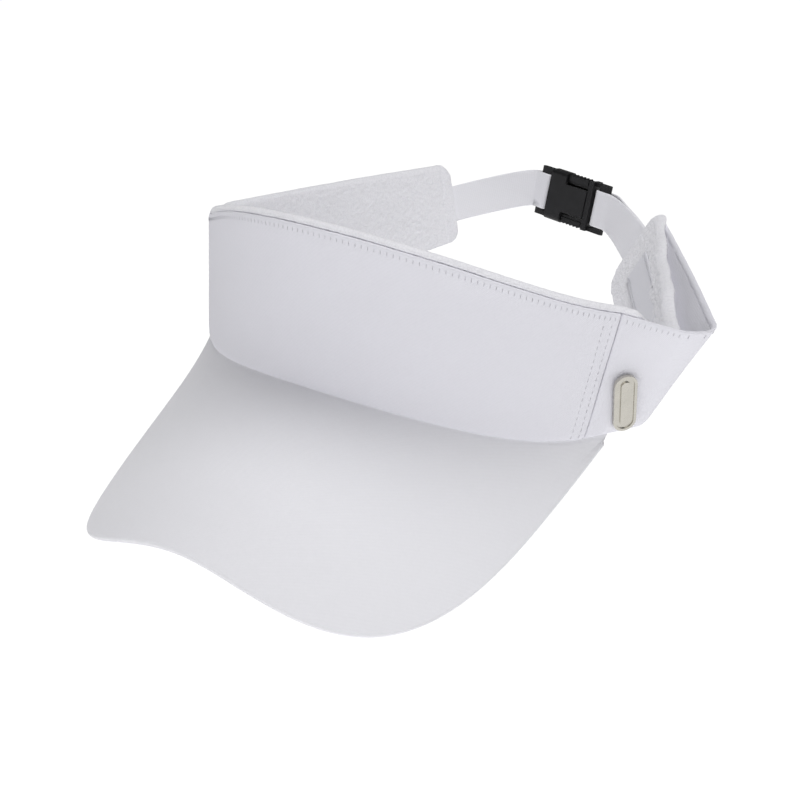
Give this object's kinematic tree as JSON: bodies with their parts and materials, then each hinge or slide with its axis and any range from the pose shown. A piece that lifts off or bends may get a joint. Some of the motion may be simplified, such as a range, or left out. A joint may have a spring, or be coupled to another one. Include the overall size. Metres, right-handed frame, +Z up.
{
  "type": "sun visor",
  "caption": "Sun visor: folded twill band with a stiff curved brim, terry sweatband and a webbing strap closed by a side-release buckle.",
  "frame": {"origin": "middle of the head opening, level with the band's top edge at the front centre", "axes": "+Z up as worn, -Y forward along the brim, +X to the wearer's left"},
  "size_m": [0.2075, 0.2653, 0.1263],
  "materials": {
    "twill": "matt cotton twill",
    "brim_twill": "smooth matt twill bonded to a board",
    "interlining": "matt non-woven",
    "terry": "looped terry pile",
    "thread": "spun polyester thread",
    "board": "polyethylene sheet",
    "webbing": "flat woven webbing",
    "buckle_plastic": "satin moulded acetal",
    "badge_metal": "polished plated metal",
    "backplate_metal": "plain stamped metal",
    "label": "satin-woven ribbon, blank"
  },
  "bodies": {
    "root": {"front_panel": "twill", "left_side_panel": "twill", "right_side_panel": "twill", "front_interlining": "interlining", "left_interlining": "interlining", "right_interlining": "interlining", "sweatband": "terry", "top_edge_thread": "thread", "left_seam_thread": "thread", "right_seam_thread": "thread", "brim_board": "board", "brim_top_cover": "brim_twill", "brim_under_cover": "brim_twill", "left_strap": "webbing", "right_strap": "webbing", "left_strap_tack": "thread", "right_strap_tack": "thread", "buckle_plug": "buckle_plastic", "badge": "badge_metal", "badge_backplate": "backplate_metal", "blank_label": "label", "label_thread": "thread"},
    "socket": {"buckle_socket": "buckle_plastic"},
    "upper_arm": {"upper_release_arm": "buckle_plastic"},
    "lower_arm": {"lower_release_arm": "buckle_plastic"}
  },
  "joints": [
    {"name": "socket_release", "type": "slide", "parent": "root", "child": "socket", "axis": [-0.9646, 0.2585, 0.0523], "range_m": [0, 0.021], "deforming": ["right_strap"]},
    {"name": "upper_arm_squeeze", "type": "hinge", "parent": "root", "child": "upper_arm", "pos_m": [0.01673, 0.08418, 0.00284], "axis": [0.2588, 0.9659, 0], "range_deg": [-7, 0], "stiffness_Nm_per_rad": 0.02, "springref_deg": 2.86},
    {"name": "lower_arm_squeeze", "type": "hinge", "parent": "root", "child": "lower_arm", "pos_m": [0.01592, 0.08439, -0.01314], "axis": [0.2588, 0.9659, 0], "range_deg": [0, 7], "stiffness_Nm_per_rad": 0.02, "springref_deg": -2.86}
  ],
  "couplings": [
    {"joint": "lower_arm_squeeze", "follows": "upper_arm_squeeze", "ratio": -1}
  ]
}
